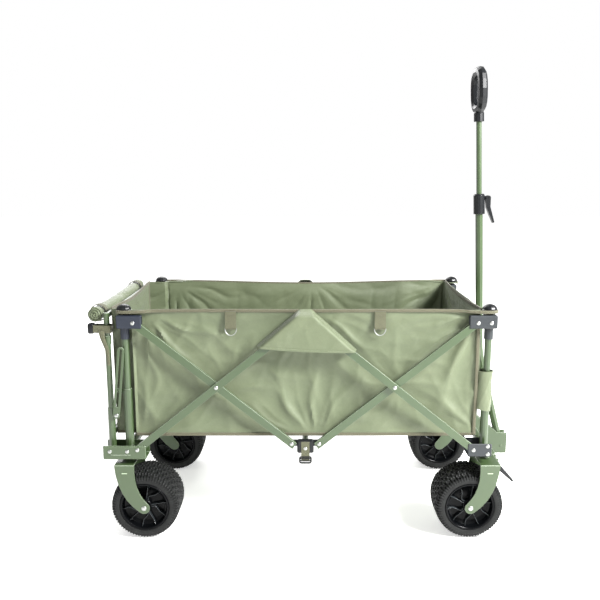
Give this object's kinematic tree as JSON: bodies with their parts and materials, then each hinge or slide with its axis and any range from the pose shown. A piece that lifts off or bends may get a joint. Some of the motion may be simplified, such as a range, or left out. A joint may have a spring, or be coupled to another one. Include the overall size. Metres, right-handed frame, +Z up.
{
  "type": "folding camp wagon",
  "caption": "Folding four-wheel wagon: lattice steel frame, fabric basket, drop tailgate and telescoping pull handle.",
  "frame": {"origin": "centre of the bounding box on the floor", "axes": "+Z up, +X towards the pull handle, -Y the near side"},
  "size_m": [1.2304, 0.5852, 1.3164],
  "materials": {
    "green_steel": "satin sage-green powder coat",
    "olive_fabric": "coated polyester weave, matte",
    "black_plastic": "moulded nylon, fine texture",
    "grey_plastic": "moulded nylon, dark grey",
    "tyre_rubber": "block tread rubber",
    "webbing": "brown-olive woven binding and webbing",
    "chrome_wire": "polished rings and rivets"
  },
  "bodies": {
    "root": {"rear_lower_frame": "green_steel", "rear_post_lower_near": "green_steel", "rear_post_lower_far": "green_steel", "rear_fork_near": "green_steel", "rear_fork_far": "green_steel"},
    "lattice_rear_low": {"bar_rear_low_to_top_near": "green_steel", "bar_rear_low_to_top_far": "green_steel"},
    "lattice_rear_high": {"bar_rear_high_to_low_near": "green_steel", "bar_rear_high_to_low_far": "green_steel"},
    "lattice_front_low": {"bar_front_low_to_top_near": "green_steel", "bar_front_low_to_top_far": "green_steel"},
    "lattice_front_high": {"bar_front_high_to_low_near": "green_steel", "bar_front_high_to_low_far": "green_steel"},
    "top_hubs": {"top_hub_near": "black_plastic", "top_hub_far": "black_plastic"},
    "low_hubs": {"low_hub_near": "black_plastic", "low_hub_far": "black_plastic", "mid_cross_tube": "green_steel"},
    "rear_top": {"rear_post_upper_near": "green_steel", "rear_post_upper_far": "green_steel", "rear_top_bracket_near": "black_plastic", "rear_top_bracket_far": "black_plastic", "rear_dome_near": "black_plastic", "rear_dome_far": "black_plastic", "liner": "olive_fabric"},
    "front_top": {"front_post_upper_near": "green_steel", "front_post_upper_far": "green_steel", "front_top_bracket_near": "grey_plastic", "front_top_bracket_far": "grey_plastic", "front_dome_near": "black_plastic", "front_dome_far": "black_plastic"},
    "front_frame": {"front_cross_tube": "green_steel", "front_low_bracket_near": "grey_plastic", "front_low_bracket_far": "grey_plastic", "front_post_lower_near": "green_steel", "front_post_lower_far": "green_steel"},
    "tailgate": {"tailgate_lower_frame": "green_steel"},
    "tailgate_top": {"tailgate_upper_frame": "green_steel", "tailgate_panel": "olive_fabric", "tailgate_roll": "olive_fabric"},
    "handle": {"handle_lower_tube": "green_steel", "handle_clamp": "grey_plastic"},
    "clamp_lever": {"handle_clamp_lever": "grey_plastic"},
    "handle_top": {"handle_upper_tube": "green_steel", "handle_grip": "black_plastic"},
    "rear_wheel_near": {"rear_tyre_near": "tyre_rubber", "rear_rim_near": "black_plastic"},
    "front_wheel_near": {"front_tyre_near": "tyre_rubber", "front_rim_near": "black_plastic"},
    "caster_near": {"caster_fork_near": "green_steel"},
    "brake_near": {"brake_lever_near": "black_plastic"},
    "stay_near": {"tailgate_stay_near": "green_steel"},
    "rear_wheel_far": {"rear_tyre_far": "tyre_rubber", "rear_rim_far": "black_plastic"},
    "front_wheel_far": {"front_tyre_far": "tyre_rubber", "front_rim_far": "black_plastic"},
    "caster_far": {"caster_fork_far": "green_steel"},
    "brake_far": {"brake_lever_far": "black_plastic"},
    "stay_far": {"tailgate_stay_far": "green_steel"}
  },
  "joints": [
    {"name": "fold", "type": "hinge", "parent": "root", "child": "lattice_rear_low", "pos_m": [-0.48175, 0, 0.265], "axis": [0, -1, 0], "range_deg": [0, 37], "deforming": ["liner"]},
    {"name": "top_hub_turn", "type": "hinge", "parent": "lattice_rear_low", "child": "top_hubs", "pos_m": [-0.05775, 0, 0.607], "axis": [0, -1, 0], "range_deg": [-37, 0]},
    {"name": "front_low_turn", "type": "hinge", "parent": "top_hubs", "child": "lattice_front_low", "pos_m": [0.01825, 0, 0.607], "axis": [0, -1, 0], "range_deg": [-37, 0]},
    {"name": "front_frame_turn", "type": "hinge", "parent": "lattice_front_low", "child": "front_frame", "pos_m": [0.44225, 0, 0.265], "axis": [0, -1, 0], "range_deg": [0, 37]},
    {"name": "rear_crossing", "type": "hinge", "parent": "lattice_rear_low", "child": "lattice_rear_high", "pos_m": [-0.26169, 0, 0.4425], "axis": [0, -1, 0], "range_deg": [-74, 0]},
    {"name": "rear_top_turn", "type": "hinge", "parent": "lattice_rear_high", "child": "rear_top", "pos_m": [-0.48175, 0, 0.62], "axis": [0, -1, 0], "range_deg": [0, 37]},
    {"name": "low_hub_turn", "type": "hinge", "parent": "lattice_rear_high", "child": "low_hubs", "pos_m": [-0.05775, 0, 0.278], "axis": [0, -1, 0], "range_deg": [0, 37]},
    {"name": "front_crossing", "type": "hinge", "parent": "lattice_front_low", "child": "lattice_front_high", "pos_m": [0.22219, 0, 0.4425], "axis": [0, -1, 0], "range_deg": [0, 74]},
    {"name": "front_top_turn", "type": "hinge", "parent": "lattice_front_high", "child": "front_top", "pos_m": [0.44225, 0, 0.62], "axis": [0, -1, 0], "range_deg": [-37, 0]},
    {"name": "tailgate_drop", "type": "hinge", "parent": "root", "child": "tailgate", "pos_m": [-0.55775, 0, 0.261], "axis": [0, -1, 0], "range_deg": [0, 90]},
    {"name": "tailgate_extend", "type": "slide", "parent": "tailgate", "child": "tailgate_top", "axis": [0, 0, 1], "range_m": [0, 0.195]},
    {"name": "handle_swing", "type": "hinge", "parent": "front_frame", "child": "handle", "pos_m": [0.59825, 0, 0.165], "axis": [0, 1, 0], "range_deg": [0, 95]},
    {"name": "handle_extend", "type": "slide", "parent": "handle", "child": "handle_top", "axis": [-0.047, 0, 0.9989], "range_m": [-0.19, 0.1]},
    {"name": "clamp_lever_turn", "type": "hinge", "parent": "handle", "child": "clamp_lever", "pos_m": [0.52396, 0, 0.9415], "axis": [0, -1, 0], "range_deg": [0, 90]},
    {"name": "rear_wheel_spin_near", "type": "hinge", "parent": "root", "child": "rear_wheel_near", "pos_m": [-0.46975, -0.227, 0.095], "axis": [0, 1, 0], "continuous": true},
    {"name": "caster_turn_near", "type": "hinge", "parent": "front_frame", "child": "caster_near", "pos_m": [0.49025, -0.227, 0.2225], "axis": [0, 0, 1], "continuous": true},
    {"name": "front_wheel_spin_near", "type": "hinge", "parent": "caster_near", "child": "front_wheel_near", "pos_m": [0.44075, -0.227, 0.095], "axis": [0, 1, 0], "continuous": true},
    {"name": "brake_press_near", "type": "hinge", "parent": "caster_near", "child": "brake_near", "pos_m": [0.52225, -0.227, 0.2105], "axis": [0, 1, 0], "range_deg": [0, 20]},
    {"name": "stay_turn_near", "type": "hinge", "parent": "tailgate", "child": "stay_near", "pos_m": [-0.54015, -0.25, 0.3574], "axis": [0, -1, 0], "range_deg": [-125, 0]},
    {"name": "rear_wheel_spin_far", "type": "hinge", "parent": "root", "child": "rear_wheel_far", "pos_m": [-0.46975, 0.227, 0.095], "axis": [0, 1, 0], "continuous": true},
    {"name": "caster_turn_far", "type": "hinge", "parent": "front_frame", "child": "caster_far", "pos_m": [0.49025, 0.227, 0.2225], "axis": [0, 0, 1], "continuous": true},
    {"name": "front_wheel_spin_far", "type": "hinge", "parent": "caster_far", "child": "front_wheel_far", "pos_m": [0.44075, 0.227, 0.095], "axis": [0, 1, 0], "continuous": true},
    {"name": "brake_press_far", "type": "hinge", "parent": "caster_far", "child": "brake_far", "pos_m": [0.52225, 0.227, 0.2105], "axis": [0, 1, 0], "range_deg": [0, 20]},
    {"name": "stay_turn_far", "type": "hinge", "parent": "tailgate", "child": "stay_far", "pos_m": [-0.54015, 0.25, 0.3574], "axis": [0, -1, 0], "range_deg": [-125, 0]}
  ],
  "couplings": [
    {"joint": "top_hub_turn", "follows": "fold", "ratio": -1},
    {"joint": "front_low_turn", "follows": "fold", "ratio": -1},
    {"joint": "front_frame_turn", "follows": "fold", "ratio": 1},
    {"joint": "rear_crossing", "follows": "fold", "ratio": -2},
    {"joint": "rear_top_turn", "follows": "fold", "ratio": 1},
    {"joint": "low_hub_turn", "follows": "fold", "ratio": 1},
    {"joint": "front_crossing", "follows": "fold", "ratio": 2},
    {"joint": "front_top_turn", "follows": "fold", "ratio": -1},
    {"joint": "tailgate_extend", "follows": "fold", "m_per_rad": 0.29946},
    {"joint": "stay_turn_near", "follows": "tailgate_drop", "ratio": -1.38},
    {"joint": "stay_turn_far", "follows": "tailgate_drop", "ratio": -1.38}
  ]
}
